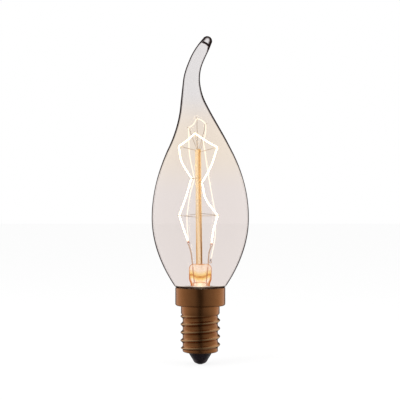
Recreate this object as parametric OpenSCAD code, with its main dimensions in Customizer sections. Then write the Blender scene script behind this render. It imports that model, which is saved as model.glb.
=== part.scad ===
// Bent-tip filament candle lamp on a skirted 14 mm screw cap, in millimetres.
// The origin is the centre of the contact's foot, on the cap's axis. +Z runs up through the glass,
// the tail bends in the XZ plane, and the front of the lamp faces -Y.
// Heights build up from the foot: contact, insulator, screw shell, skirt, stem, rod and hooks.

/* [Glass bulb] */
// Widest diameter of the bulb
glass_d = 34; // [33:0.5:36]
// Thickness of the blown glass
glass_wall = 0.7; // [0.5:0.1:0.8]
// Diameter of the glass where it comes out of the skirt
mouth_d = 18.3; // [17.6:0.1:19]
// Height of the widest point above the skirt's rim
belly_h = 24.4; // [22.4:0.5:27.4]
// Diameter half way up the taper
taper_d = 21.9; // [21.3:0.2:24.1]
// Height of that place above the skirt's rim
taper_h = 48.7; // [47.7:0.5:51.2]
// Diameter where the taper turns into the tail
throat_d = 10.4; // [10.1:0.1:12]
// Height of the throat above the skirt's rim
throat_h = 61.9; // [61.2:0.1:64]

/* [Glass tail] */
// Diameter of the tail's root
tail_root_d = 5.8; // [5.4:0.1:6.6]
// Height of the tail's root above the skirt's rim
tail_root_h = 73.1; // [71.7:0.2:75.1]
// Diameter of the drawn tail
tail_d = 4.9; // [4.4:0.1:5.2]
// Height at which the tail reaches that diameter, above the skirt's rim
tail_h = 78.7; // [77.7:0.2:80.1]
// Diameter of the solid bead at the tip
bead_d = 3.5; // [3.3:0.1:4.8]
// Height of the bead's centre above the skirt's rim
bead_h = 86.2; // [84.8:0.1:88]
// Length of solid glass below the bead's centre
bead_solid = 0.9; // [0.6:0.1:2.5]
// How far the tail first swings to the left of the axis
swing_left = 3.1; // [2:0.1:4]
// How far the bead lies to the right of the axis
swing_right = 2.4; // [1:0.1:3]

/* [Screw cap] */
// Outside diameter of the screw thread, over the crests
thread_d = 13.89; // [13.6:0.01:13.89]
// Diameter at the roots of the thread
root_d = 12.29; // [12.2:0.01:12.4]
// Pitch of the right-hand thread
pitch = 2.822; // [2.8:0.001:2.85]
// Narrowness of the rolled crests: 1 is an even wave
crest_power = 1.6; // [1:0.1:2]
// Thickness of the brass sheet
sheet = 0.35; // [0.3:0.01:0.4]
// Height of the screw shell, from its lower edge to the shoulder
shell_h = 16.55; // [15.5:0.05:18]
// Height of the plain land above the thread
land_h = 2.8; // [2:0.1:3.4]
// Diameter of the plain land
land_d = 13.54; // [13.4:0.02:13.7]
// Outside diameter of the skirt
skirt_d = 17.5; // [17.2:0.1:17.7]
// Height of the skirt
skirt_h = 6.3; // [5:0.1:7]
// Radius of the skirt's lower corner
skirt_round = 0.7; // [0.3:0.1:1]

/* [Cap foot] */
// Diameter of the centre contact
contact_d = 5.5; // [4.9:0.1:5.8]
// Height of the centre contact
contact_h = 1.8; // [1.4:0.1:2.2]
// Diameter of the flat on the solder at the very foot
foot_flat_d = 1.5; // [1.2:0.1:1.7]
// Diameter of the hole in the contact, filled with solder
solder_d = 1.8; // [1.6:0.1:2.2]
// Diameter of the insulator where it leaves the shell
insulator_d = 8.2; // [7.4:0.1:8.6]
// Height of the insulator's cone below the shell
insulator_h = 2.15; // [1.8:0.05:2.6]
// Height of the insulator inside the shell
insulator_inner_h = 4.2; // [3:0.1:5]
// Diameter of the hole through the insulator for the centre lead
insulator_bore_d = 2.6; // [2.4:0.1:3]

/* [Stem] */
// Diameter of the stem tube
stem_d = 6.7; // [6.4:0.1:7]
// Thickness of the stem tube and its flare
stem_wall = 0.7; // [0.6:0.05:0.8]
// Height of the press's top above the skirt's rim
stem_h = 8.2; // [7.7:0.1:9]
// Width of the press across the leads
press_w = 7.9; // [7.4:0.1:8.4]
// Thickness of the press, front to back
press_t = 2.8; // [2.6:0.1:3.4]
// Height of the press
press_h = 5.8; // [5.4:0.1:6.2]
// Gap between the glass neck and the skirt, filled with cement
cement_gap = 0.7; // [0.6:0.05:0.8]
// Outside diameter of the exhaust tube
exhaust_d = 3; // [2.8:0.1:3.2]
// Bore of the exhaust tube
exhaust_bore = 1.6; // [1.2:0.1:1.8]
// Length of the exhaust tube below the press
exhaust_l = 16.5; // [14:0.5:17]
// Diameter of the glass rod
rod_d = 2.2; // [2:0.1:2.4]
// Height of the rod above the press
rod_h = 40.4; // [40:0.1:41]
// Lean of the rod to the left, in degrees
rod_lean = 0.6; // [0:0.1:1.5]
// Distance of the rod's foot from the axis, to the left
rod_aside = 0.35; // [0:0.05:0.5]

/* [Wires] */
// Diameter of a filament
filament_d = 0.5; // [0.4:0.05:0.55]
// Diameter of a support hook's wire
hook_d = 0.22; // [0.18:0.01:0.26]
// Depth of a hook's foot in the rod
hook_depth = 0.6; // [0.5:0.05:0.7]
// Gap between a hook's eye and the filament
eye_gap = 0.08; // [0.07:0.01:0.12]
// Diameter of the nickel leads above the press
lead_d = 0.5; // [0.45:0.05:0.7]
// Diameter of the folded clamp that holds the filament
clamp_d = 1.1; // [1:0.05:1.3]
// Length of the clamp, front to back
clamp_l = 1.5; // [1.4:0.1:1.8]
// Diameter of the seal wires in the press
seal_d = 0.4; // [0.35:0.05:0.5]
// Diameter of the outer leads in the cap
outer_lead_d = 0.3; // [0.25:0.01:0.35]
// Diameter of the fuse wire
fuse_d = 0.15; // [0.1:0.01:0.2]
// Length of the fuse wire
fuse_l = 4.9; // [4:0.1:5.5]
// Diameter of the solder spot on the skirt
side_solder_d = 2.4; // [2:0.1:2.8]
// Height of the solder spot, which a sleeve has to clear
side_solder_h = 0.2; // [0.15:0.01:0.21]

/* [Hidden] */
// Sides of the blown glass, the thread, the filaments and the thin wires
round_sides = 40;
thread_sides = 36;
filament_sides = 8;
wire_sides = 6;
$fn = 64;

// Heights from the foot
shell_z = contact_h + insulator_h;
solder_top_z = contact_h + 0.8;
shoulder_z = shell_z + shell_h;
rim_z = shoulder_z + skirt_h;
curl_h = 1.05;
thread_z = shell_z + curl_h;
land_z = shoulder_z - land_h;
flare_clear = 0.8;
flare_t = 0.9;
flare_z = shoulder_z + sheet + flare_clear;
neck_z = flare_z + flare_t;
press_top_z = rim_z + stem_h;
press_z = press_top_z - press_h;

// Radii that fit one another
skirt_r = skirt_d / 2;
skirt_bore_r = skirt_r - sheet;
neck_r = skirt_bore_r - cement_gap;
stem_r = stem_d / 2;
stem_bore_r = stem_r - stem_wall;
land_r = land_d / 2;
thread_depth = (thread_d - root_d) / 2;
curl_r = root_d / 2 + 0.05;
// Height above the shell's lower edge of the first crest on the right-hand side
first_crest_h = 2.93;

// How far the thread's ends reach into the plain brass above and below it, and how far inside its
// two faces they stay
lap = 0.3;
lap_inset = 0.06;

// Outline of the glass from the neck's foot to the bead: height, radius and slope
mouth_rise = 1.2;
mouth_z = rim_z + 0.7;
bead_z = rim_z + bead_h;
glass_knots = [
    [neck_z, neck_r, 0],
    [mouth_z - mouth_rise, neck_r, 0],
    [mouth_z, mouth_d / 2, 0.66],
    [rim_z + belly_h, glass_d / 2, 0],
    [rim_z + taper_h, taper_d / 2, -0.49],
    [rim_z + throat_h, throat_d / 2, -0.335],
    [rim_z + tail_root_h, tail_root_d / 2, -0.08],
    [rim_z + tail_h, tail_d / 2, -0.025],
    [bead_z, bead_d / 2, -0.22]
];
// Rings between one knot and the next, outside, and the same inside
glass_steps = [1, 4, 9, 10, 7, 6, 4, 5];

// Centre line of the glass: height, distance from the axis and slope
bend_knots = [
    [neck_z, 0, 0],
    [rim_z + 25.2, 0, 0],
    [rim_z + 48.6, -0.19 * swing_left, -0.055],
    [rim_z + 63.2, -0.78 * swing_left, -0.175],
    [rim_z + 71.4, -swing_left, 0],
    [rim_z + 80.1, -0.33 * swing_left, 0.45],
    [bead_z, swing_right, 0.58]
];

// Front filament: left clamp, lower left, waist left, upper left, peak, upper right, waist right,
// lower right, right clamp. Each stop is x, y and the height above the press.
front_stops = [
    [-4.1, -0.3, 7.4], [-7.3, -4.0, 17.0], [-3.1, -1.9, 29.9], [-7.5, -3.2, 41.1],
    [-1.85, -4.6, 45.5], [5.9, -4.4, 40.65], [0.6, -2.5, 28.4], [6.0, -3.8, 17.0],
    [3.85, -0.2, 6.7]
];
// How far the middle of each run between two stops is drawn aside
front_bows = [
    [0, 0, -0.2], [0.2, 0.3, 0], [-1.2, -0.2, 0.2], [-0.3, 0, -0.5],
    [0, 0, -0.25], [0.5, 0.2, -0.3], [-1.4, 0.3, 0.1], [-0.45, 0, -0.3]
];
// Back filament: left clamp, lower left, waist, shoulder left, peak, shoulder right, neck,
// lower right, tail clamp
back_stops = [
    [-4.0, 0.35, 7.4], [-4.7, 3.2, 17.0], [-2.1, 1.9, 29.9], [-4.15, 4.4, 47.95],
    [-1.25, 3.4, 51.2], [1.95, 3.7, 49.2], [1.1, 4.2, 42.9], [5.4, 3.6, 17.2],
    [3.6, 0.35, 0.9]
];
back_bows = [
    [-0.2, 0.2, 0], [-0.4, 0, 0], [-0.7, 0.8, 0], [0.2, 0, -0.5],
    [0.2, 0, 0.3], [0.3, 0, 0], [-0.2, 0, 0], [0.7, 0.2, 0]
];
// Heights above the press at which the hooks of each filament leave the rod
front_feet = [16.4, 29.9, 39.7, 39.9, 39.2, 28.7, 16.8];
back_feet = [17.5, 30.4, 39.9, 40.0, 39.9, 38.4, 17.7];

// Leads: where each seal wire starts in the stem, and where it leaves the press
seal_foot_x = 2.08;
seal_foot_z = press_z - 0.7;
seal_exit_x = 2.76;
seal_joint_z = press_top_z - 1;
left_clamp = [-4.1, 0, press_top_z + 7.35];
right_clamp = [3.85, 0, press_top_z + 6.65];
tail_clamp = [3.5, 0, press_top_z + 0.8];

// The spot where the side lead comes out of the skirt, at the back
side_hole_z = shoulder_z + 3.4;
side_hole_d = 0.8;

// Vectors
function unit(v) = v / norm(v);
function above_press(p) = [p.x, p.y, press_top_z + p.z];

// Value of a curve through knots of place, value and slope: a cubic between each two
function knot_at(knots, z) =
    max([0, for (i = [0:len(knots) - 2]) if (z >= knots[i][0]) i]);
function cubic(a, b, t) =
    a[1] * (2 * t ^ 3 - 3 * t ^ 2 + 1) + b[1] * (3 * t ^ 2 - 2 * t ^ 3)
    + (b[0] - a[0]) * (a[2] * (t ^ 3 - 2 * t ^ 2 + t) + b[2] * (t ^ 3 - t ^ 2));
function along(knots, z) =
    let (i = knot_at(knots, z), a = knots[i], b = knots[i + 1])
    cubic(a, b, (z - a[0]) / (b[0] - a[0]));
function ease(low, high, z) =
    let (t = max(0, min(1, (z - low) / (high - low)))) t * t * (3 - 2 * t);

// Centre and direction of the glass at a height
function glass_centre(z) = [along(bend_knots, z), 0, z];
function glass_way(z) =
    unit(glass_centre(min(z + 0.05, bead_z)) - glass_centre(max(z - 0.05, neck_z)));

// A round ring about a centre, square to a direction in the XZ plane
function round_ring(centre, way, r, sides = round_sides) = [
    for (k = [0:sides - 1])
        let (a = 360 * k / sides)
        centre + r * [cos(a) * way.z, sin(a), -cos(a) * way.x]
];
// An oval ring: half width, half thickness, and a power that squares its corners
function signed_power(v, p) = sign(v) * abs(v) ^ p;
function oval_ring(z, a, b, squareness, sides = round_sides) = [
    for (k = [0:sides - 1])
        let (t = 360 * k / sides)
        [a * signed_power(cos(t), squareness), b * signed_power(sin(t), squareness), z]
];

// Heights of the rings from the first knot up to a last height
function ring_heights(knots, steps, last) = [
    for (i = [0:len(steps) - 1]) for (s = [0:steps[i] - 1])
        let (z = knots[i][0] + (knots[i + 1][0] - knots[i][0]) * s / steps[i])
        if (z < last - 0.4) z
];
function reversed(list) = [for (i = [len(list) - 1:-1:0]) list[i]];

// A dome that closes a tube of radius r at height z of the glass, and rises by a share of r
dome_steps = 6;
function dome_rings(z, r, rise) = [
    for (s = [0:dome_steps])
        let (a = 86 * s / dome_steps, way = glass_way(z))
        round_ring(glass_centre(z) + rise * r * sin(a) * way, way, r * cos(a))
];

// Closed solid through a row of rings with equal numbers of points. A looped row closes on its
// first ring, and any other row is closed by a flat face at each end.
module skin(rings, looped = false) {
    count = len(rings);
    sides = len(rings[0]);
    points = [for (ring = rings) each ring];
    walls = [
        for (i = [0:looped ? count - 1 : count - 2]) for (k = [0:sides - 1])
            let (j = (i + 1) % count, n = (k + 1) % sides)
            each [[i * sides + k, j * sides + k, j * sides + n],
                  [i * sides + k, j * sides + n, i * sides + n]]
    ];
    ends = looped ? [] : [
        [for (k = [0:sides - 1]) k],
        [for (k = [sides - 1:-1:0]) (count - 1) * sides + k]
    ];
    polyhedron(points, concat(walls, ends));
}

// Wire of one diameter along a path, its rings carried from point to point without twisting
function ways(path) = [
    for (i = [0:len(path) - 1]) unit(path[min(i + 1, len(path) - 1)] - path[max(i - 1, 0)])
];
function squared(n, way) = unit(n - (n * way) * way);
function normals(w, first) = [
    for (i = 0, n = squared(first, w[0]); i < len(w);
         n = i + 1 < len(w) ? squared(n, w[i + 1]) : n, i = i + 1) n
];
module wire(path, d, sides = wire_sides) {
    w = ways(path);
    n = normals(w, abs(w[0].z) < 0.9 ? [0, 0, 1] : [1, 0, 0]);
    skin([
        for (i = [0:len(path) - 1]) [
            for (k = [0:sides - 1])
                let (a = 360 * k / sides)
                path[i] + d / 2 * (cos(a) * n[i] + sin(a) * cross(w[i], n[i]))
        ]
    ]);
}
// Round bar from one point to another
module bar(a, b, d) {
    v = b - a;
    translate(a)
    rotate([0, acos(v.z / norm(v)), atan2(v.y, v.x)])
    cylinder(h = norm(v), d = d);
}

// Smooth path through points, passing each one
function smooth(p, steps) = concat(
    [for (i = [0:len(p) - 2]) for (s = [0:steps - 1])
        let (t = s / steps, a = p[max(i - 1, 0)], b = p[i], c = p[i + 1],
             e = p[min(i + 2, len(p) - 1)])
        0.5 * (2 * b + (c - a) * t + (2 * a - 5 * b + 4 * c - e) * t ^ 2
               + (3 * b - a - 3 * c + e) * t ^ 3)],
    [p[len(p) - 1]]
);
// A filament's route, four points to a run: close to each stop it turns within a tenth of the run
run_points = 4;
function route(stops, bows) = concat(
    [for (i = [0:len(bows) - 1])
        let (a = above_press(stops[i]), b = above_press(stops[i + 1]))
        each [a, a + (b - a) * 0.1 + bows[i] * 0.2, (a + b) / 2 + bows[i],
              b - (b - a) * 0.1 + bows[i] * 0.2]],
    [above_press(stops[len(stops) - 1])]
);
front_route = route(front_stops, front_bows);
back_route = route(back_stops, back_bows);
function filament_path(points) = smooth(points, 2);

// The rod's axis, leaning to the left as it rises
function rod_axis(h) = [-rod_aside - h * tan(rod_lean), 0, press_top_z + h];
// A hook's foot in the rod, on the side that faces its stop, and the line towards the stop
function hook_foot(stop, h) =
    let (out = unit([stop.x, stop.y, 0] - [rod_axis(h).x, 0, 0]))
    rod_axis(h) + (rod_d / 2 - hook_depth) * out;
// The eye rings the filament in a plane between its two legs, and is open towards the rod
eye_r = filament_d / 2 + hook_d / 2 + eye_gap;
eye_steps = 9;
eye_open = 52;
function hook_path(points, i, h) =
    let (k = run_points * i, stop = points[k], foot = hook_foot(stop, h),
         way = unit(unit(points[k + 1] - stop) - unit(points[k - 1] - stop)),
         back = squared(foot - stop, way), side = cross(way, back))
    concat([foot, stop + min(2.8 * eye_r, norm(foot - stop) / 2) * unit(foot - stop)],
           [for (s = [0:eye_steps])
               let (a = eye_open + (360 - 2 * eye_open) * s / eye_steps)
               stop + eye_r * (cos(a) * back + sin(a) * side)]);

// The bore's end in the tail is flatter than a half ball
bore_end_rise = 0.4;
module glass_envelope() {
    solid_z = bead_z - bead_solid;
    outer = [
        for (z = ring_heights(glass_knots, glass_steps, bead_z))
            round_ring(glass_centre(z), glass_way(z), along(glass_knots, z))
    ];
    inner = [
        for (z = ring_heights(glass_knots, glass_steps, solid_z))
            round_ring(glass_centre(z), glass_way(z), along(glass_knots, z) - glass_wall)
    ];
    inner_r = along(glass_knots, solid_z) - glass_wall;
    color([0.9, 0.86, 0.85, 0.3])
    skin(concat(reversed(dome_rings(solid_z, inner_r, bore_end_rise)), reversed(inner),
                outer, dome_rings(bead_z, bead_d / 2, 1)));
}

// Flared rim under the neck, straight tube, and the flattened press with rounded shoulders. The
// tube widens across the leads from half way up its straight part. The press holds the rod, the
// exhaust tube, the vent at its head, and the seal wires.
rod_seat = 1.2;
exhaust_seat = 0.3;
vent_h = 1.4;
flare_h = 3.6;
flare_steps = 6;
press_steps = 8;
shoulder_steps = 4;
press_round = 1.6;
flare_land_r = neck_r - glass_wall - 0.1;
function flare_curve(r_out, r_in, z, h) = [
    for (s = [0:flare_steps])
        let (a = 90 * s / flare_steps)
        [r_in + (r_out - r_in) * (1 - sin(a)), z + h * (1 - cos(a))]
];
module stem_flare() {
    top = concat([[neck_r, neck_z]], flare_curve(flare_land_r, stem_r, neck_z, flare_h));
    under = concat([[neck_r, flare_z]],
                   flare_curve(flare_land_r - flare_t, stem_bore_r, flare_z, flare_h),
                   [[stem_bore_r, press_z - 0.9], [stem_bore_r * 0.6, press_z - 0.5],
                    [0.2, press_z - 0.4]]);
    widen_h = press_h * 0.5;
    flank_h = (press_z - neck_z - flare_h) / 2;
    press = concat(
        [for (s = [0:press_steps])
            let (z = press_z - flank_h + (flank_h + widen_h) * s / press_steps,
                 wide = ease(press_z - flank_h, press_z + flank_h / 2, z),
                 flat = ease(press_z, press_z + widen_h, z))
            [z, stem_r + (press_w / 2 - stem_r) * wide,
             stem_r + (press_t / 2 - stem_r) * flat, 1 - 0.4 * flat]],
        [for (s = [0:shoulder_steps])
            let (a = 80 * s / shoulder_steps, drop = press_round * (1 - cos(a)))
            [press_top_z - press_round * (1 - sin(a) / sin(80)),
             press_w / 2 - drop, press_t / 2 - drop * 0.35, 0.6]]
    );
    color([0.96, 0.8, 0.55, 0.6])
    difference() {
        skin(concat([for (p = reversed(under)) oval_ring(p[1], p[0], p[0], 1)],
                    [for (p = top) oval_ring(p[1], p[0], p[0], 1)],
                    [for (p = press) oval_ring(p[0], p[1], p[2], p[3])]));
        for (side = [-1, 1]) seal_bore(side);
        bar(rod_axis(-rod_seat), rod_axis(1), rod_d);
        translate([0, 0, press_z - 2]) cylinder(h = 2 + exhaust_seat, d = exhaust_d);
        translate([0, 0, press_z]) cylinder(h = exhaust_seat + vent_h, d = exhaust_bore);
        translate([0, 0, press_z + exhaust_seat + vent_h - exhaust_bore / 2])
        rotate([90, 0, 0]) cylinder(h = stem_d, d = exhaust_bore);
    }
}

// The seal wires lean outwards through the press, each on one straight line
function seal_point(side, z) =
    let (t = (z - seal_foot_z) / (press_top_z - seal_foot_z))
    [side * (seal_foot_x + (seal_exit_x - seal_foot_x) * t), 0, z];
// The bore that a seal wire and the foot of its lead leave in the press
module seal_bore(side) {
    low = seal_point(side, seal_foot_z - 0.2);
    joint = seal_point(side, seal_joint_z);
    v = seal_point(side, press_top_z + 1) - low;
    translate(low)
    rotate([0, acos(v.z / norm(v)), atan2(v.y, v.x)])
    rotate_extrude()
    polygon([[0, 0], [seal_d / 2, 0], [seal_d / 2, norm(joint - low)],
             [lead_d / 2, norm(joint - low)], [lead_d / 2, norm(v)], [0, norm(v)]]);
}

module exhaust_tube() {
    top_z = press_z + exhaust_seat;
    tip_z = top_z - exhaust_l;
    seal = exhaust_d / 2;
    color([0.92, 0.92, 0.9, 0.5])
    difference() {
        union() {
            translate([0, 0, tip_z + seal]) cylinder(h = exhaust_l - seal, d = exhaust_d);
            translate([0, 0, tip_z + seal]) sphere(d = exhaust_d);
        }
        translate([0, 0, tip_z + exhaust_d]) cylinder(h = exhaust_l, d = exhaust_bore);
    }
}

module glass_rod() {
    color([0.95, 0.75, 0.45, 0.7])
    difference() {
        bar(rod_axis(-rod_seat), rod_axis(rod_h), rod_d);
        for (i = [1:7]) hook_bore(front_route, i, front_feet[i - 1]);
        for (i = [1:7]) hook_bore(back_route, i, back_feet[i - 1]);
    }
}
module hook_bore(points, i, h) {
    path = hook_path(points, i, h);
    bar(path[0], path[1], hook_d);
}

module filament(points) {
    color([1, 0.88, 0.55])
    wire(filament_path(points), filament_d, filament_sides);
}
module filament_front() { filament(front_route); }
module filament_back() { filament(back_route); }

module hook(points, i, h) {
    color([0.45, 0.42, 0.4])
    wire(hook_path(points, i, h), hook_d);
}
module front_hook(i) { hook(front_route, i, front_feet[i - 1]); }
module back_hook(i) { hook(back_route, i, back_feet[i - 1]); }

// A clamp is the lead's end folded over the filament's leg
module clamp_at(p) {
    translate(p) rotate([90, 0, 0]) cylinder(h = clamp_l, d = clamp_d, center = true);
}
// The socket that the filament's leg leaves in a clamp, its play and the lap of its lengths
leg_play = 0.02;
leg_lap = 0.05;
module leg_socket(points) {
    path = filament_path(points);
    for (i = [0:2]) {
        over = leg_lap * unit(path[i + 1] - path[i]);
        bar(path[i] - over, path[i + 1] + over, filament_d + leg_play);
    }
}
module inner_lead_left() {
    color([0.55, 0.5, 0.46])
    difference() {
        union() {
            wire([seal_point(-1, seal_joint_z), seal_point(-1, press_top_z + 0.6),
                  [-3.25, 0, press_top_z + 4], left_clamp], lead_d, 8);
            clamp_at(left_clamp);
        }
        leg_socket(front_route);
        leg_socket(back_route);
    }
}
module inner_lead_right() {
    color([0.55, 0.5, 0.46])
    difference() {
        union() {
            wire([seal_point(1, seal_joint_z), seal_point(1, press_top_z + 0.6),
                  [3.1, 0, press_top_z + 4], right_clamp], lead_d, 8);
            clamp_at(right_clamp);
            clamp_at(tail_clamp);
        }
        leg_socket(reversed(front_route));
        leg_socket(reversed(back_route));
    }
}

module seal_wire(side) {
    color([0.75, 0.3, 0.2])
    bar(seal_point(side, seal_foot_z), seal_point(side, seal_joint_z), seal_d);
}
module seal_wire_left() { seal_wire(-1); }
module seal_wire_right() { seal_wire(1); }

// Each of these wires starts along the seal wire that it is welded to
weld_z = seal_foot_z - 0.3;
fuse_foot = seal_point(-1, weld_z) - [0, 0, fuse_l];
module fuse_wire() {
    color([0.75, 0.75, 0.7])
    wire([seal_point(-1, seal_foot_z), seal_point(-1, weld_z), fuse_foot], fuse_d);
}
// Below the fuse, under the flare, up the cement and out through the skirt's hole
cement_mid_r = skirt_bore_r - cement_gap / 2;
lead_proud = side_solder_h / 2;
lead_turn = 0.5;
module outer_lead_side() {
    under_z = (shoulder_z + sheet + flare_z) / 2;
    color([0.8, 0.45, 0.3])
    wire(concat([fuse_foot],
                smooth([[fuse_foot.x, 0, flare_z],
                        [0.75 * fuse_foot.x, 0.45 * land_r, shoulder_z - 0.2 * land_h],
                        [0.2 * fuse_foot.x, 0.8 * land_r, shoulder_z - 0.07 * land_h]], 3),
                [[0, land_r - sheet, under_z], [0, neck_r - 0.5 * outer_lead_d, under_z],
                 [0, cement_mid_r - 0.1 * cement_gap, under_z + 0.5 * outer_lead_d],
                 [0, cement_mid_r, flare_z], [0, cement_mid_r, side_hole_z - lead_turn],
                 [0, cement_mid_r + 0.1 * lead_turn, side_hole_z - 0.3 * lead_turn],
                 [0, skirt_bore_r - 0.2 * lead_turn, side_hole_z],
                 [0, skirt_r + lead_proud, side_hole_z]]),
         outer_lead_d);
}
module outer_lead_centre() {
    weld = seal_point(1, weld_z);
    inner_z = shell_z + insulator_inner_h;
    color([0.8, 0.45, 0.3])
    wire(concat([seal_point(1, seal_foot_z)],
                smooth([weld, [weld.x, 0, flare_z],
                        [1.1 * weld.x, 0, inner_z + 0.57 * (flare_z - inner_z)],
                        [0.6 * weld.x, 0, inner_z + 0.18 * (flare_z - inner_z)],
                        [0, 0, inner_z], [0, 0, solder_top_z + lead_turn]], 3),
                [[0, 0, contact_h / 2]]),
         outer_lead_d);
}

// The brass sheet: screw thread between a curled foot and a plain land, shoulder and skirt
function crest(z, a) =
    ((1 + cos(360 * (z - shell_z - first_crest_h) / pitch - a)) / 2) ^ crest_power;
fade_h = 0.8;
function thread_r(z, a) =
    let (on = ease(thread_z, thread_z + fade_h, z) * (1 - ease(land_z - fade_h, land_z, z)),
         high = ease(land_z - fade_h, land_z, z),
         plain = curl_r - lap_inset + (land_r - curl_r) * high)
    plain + (root_d / 2 - plain + thread_depth * crest(z, a)) * on;
rings_per_pitch = 10;
module thread_sheet() {
    low = thread_z - lap;
    high = land_z + lap;
    count = ceil((high - low) / pitch * rings_per_pitch);
    function ring(z, inset) = [
        for (k = [0:thread_sides - 1])
            let (a = 360 * k / thread_sides, r = thread_r(z, a) - inset)
            [r * cos(a), r * sin(a), z]
    ];
    heights = [for (i = [0:count]) low + (high - low) * i / count];
    skin(concat([for (z = reversed(heights)) ring(z, sheet - 2 * lap_inset)],
                [for (z = heights) ring(z, 0)]), looped = true);
}
// Half outline of the curled foot, outer face first
curl = [[curl_r, thread_z], [curl_r, shell_z + 0.7], [curl_r - 0.25, shell_z + 0.42],
        [curl_r - 0.9, shell_z + 0.2], [insulator_d / 2, shell_z]];
curl_bore = [[insulator_d / 2, shell_z + sheet], [curl_r - 1, shell_z + 0.2 + sheet],
             [curl_r - 0.25 - sheet * 0.8, shell_z + 0.42 + sheet * 0.7],
             [curl_r - sheet, shell_z + 0.7 + sheet * 0.2], [curl_r - sheet, thread_z]];
corner_steps = 6;
function skirt_corner(r) = [
    for (s = [0:corner_steps])
        let (a = 90 * s / corner_steps)
        [skirt_r - skirt_round + r * sin(a), shoulder_z + skirt_round - r * cos(a)]
];
module cap_shell() {
    color([0.62, 0.4, 0.22])
    difference() {
        union() {
            thread_sheet();
            rotate_extrude() polygon(concat(curl, curl_bore));
            rotate_extrude() polygon(concat(
                [[land_r - sheet, land_z], [land_r, land_z], [land_r, shoulder_z]],
                skirt_corner(skirt_round),
                [[skirt_r, rim_z - 0.1], [skirt_r - 0.1, rim_z], [skirt_bore_r + 0.05, rim_z],
                 [skirt_bore_r, rim_z - 0.05]],
                reversed(skirt_corner(skirt_round - sheet)),
                [[land_r - sheet, shoulder_z + sheet]]));
        }
        translate([0, skirt_bore_r - 1, side_hole_z])
        rotate([-90, 0, 0]) cylinder(h = 3, d = side_hole_d);
    }
}

// Black glass foot that fills the curled end of the shell and holds the contact
module cap_insulator() {
    inner_z = shell_z + insulator_inner_h;
    color([0.1, 0.09, 0.1])
    rotate_extrude() polygon(concat(
        [[solder_d / 2, contact_h], [contact_d / 2, contact_h], [insulator_d / 2, shell_z]],
        curl_bore,
        [[curl_r - sheet - 0.1, thread_z + 0.3], [curl_r - sheet - 0.6, inner_z - 0.6],
         [insulator_bore_d / 2, inner_z], [insulator_bore_d / 2, solder_top_z],
         [solder_d / 2, solder_top_z]]));
}

// Domed contact with the solder that fills its hole. The solder's flat is the foot of the lamp.
module centre_contact() {
    r = contact_d / 2;
    color([0.2, 0.18, 0.2])
    rotate_extrude() polygon([
        [solder_d / 2, 0.12], [solder_d / 2 + 0.3, 0.22], [r * 0.68, 0.29 * contact_h],
        [r * 0.84, 0.55 * contact_h], [r * 0.95, 0.83 * contact_h], [r, contact_h],
        [solder_d / 2, contact_h]
    ]);
}
module centre_solder() {
    color([0.3, 0.3, 0.32])
    difference() {
        rotate_extrude() polygon([
            [0, 0], [foot_flat_d / 2, 0], [solder_d / 2, 0.12],
            [solder_d / 2, solder_top_z], [0, solder_top_z]
        ]);
        translate([0, 0, contact_h / 2]) cylinder(h = contact_h + 1, d = outer_lead_d);
    }
}
// The solder spot is a shallow dome turned about the hole's axis and set on the curve of the skirt.
// Its dome runs on past the spot's edge, to meet the skirt where that falls away at the sides.
solder_steps = 8;
solder_reach = 1.45;
module side_solder() {
    r = side_solder_d / 2;
    dome_r = (r ^ 2 + side_solder_h ^ 2) / (2 * side_solder_h);
    edge_a = asin(solder_reach * r / dome_r);
    edge_h = dome_r * cos(edge_a);
    dome = [
        for (s = [0:solder_steps])
            let (a = edge_a * s / solder_steps) [dome_r * sin(a), dome_r * cos(a)]
    ];
    color([0.6, 0.6, 0.6])
    difference() {
        union() {
            translate([0, skirt_r + side_solder_h - dome_r, side_hole_z])
            rotate([-90, 0, 0])
            rotate_extrude()
            polygon(concat([[0, edge_h - sheet]], dome, [[dome[solder_steps].x, edge_h - sheet]]));
            translate([0, skirt_bore_r, side_hole_z])
            rotate([-90, 0, 0]) cylinder(h = sheet + lead_proud, d = side_hole_d);
        }
        difference() {
            translate([0, 0, side_hole_z - 2 * r])
            cylinder(h = 4 * r, r = skirt_r, $fn = 4 * $fn);
            translate([0, skirt_bore_r, side_hole_z])
            rotate([-90, 0, 0]) cylinder(h = sheet + side_solder_h, d = side_hole_d);
        }
        translate([0, skirt_bore_r - 0.1, side_hole_z])
        rotate([-90, 0, 0]) cylinder(h = sheet + lead_proud + 0.1, d = outer_lead_d);
    }
}

module basing_cement() {
    low = flare_z;
    color([0.85, 0.82, 0.75])
    difference() {
        rotate_extrude() polygon([
            [neck_r, low], [skirt_bore_r, low], [skirt_bore_r, mouth_z - mouth_rise],
            [neck_r, mouth_z - mouth_rise]
        ]);
        translate([0, cement_mid_r, low - 1])
        cylinder(h = side_hole_z - low + 0.9, d = outer_lead_d + leg_play);
        translate([0, cement_mid_r - 0.16, side_hole_z])
        rotate([-90, 0, 0]) cylinder(h = 3, d = side_hole_d);
    }
}

glass_envelope();
stem_flare();
exhaust_tube();
glass_rod();
filament_front();
filament_back();
front_hook(1);  // hook_front_lower_left
front_hook(2);  // hook_front_waist_left
front_hook(3);  // hook_front_upper_left
front_hook(4);  // hook_front_peak
front_hook(5);  // hook_front_upper_right
front_hook(6);  // hook_front_waist_right
front_hook(7);  // hook_front_lower_right
back_hook(1);  // hook_back_lower_left
back_hook(2);  // hook_back_waist
back_hook(3);  // hook_back_shoulder_left
back_hook(4);  // hook_back_peak
back_hook(5);  // hook_back_shoulder_right
back_hook(6);  // hook_back_neck
back_hook(7);  // hook_back_lower_right
inner_lead_left();
inner_lead_right();
seal_wire_left();
seal_wire_right();
fuse_wire();
outer_lead_side();
outer_lead_centre();
cap_shell();
cap_insulator();
centre_contact();
centre_solder();
side_solder();
basing_cement();
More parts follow.
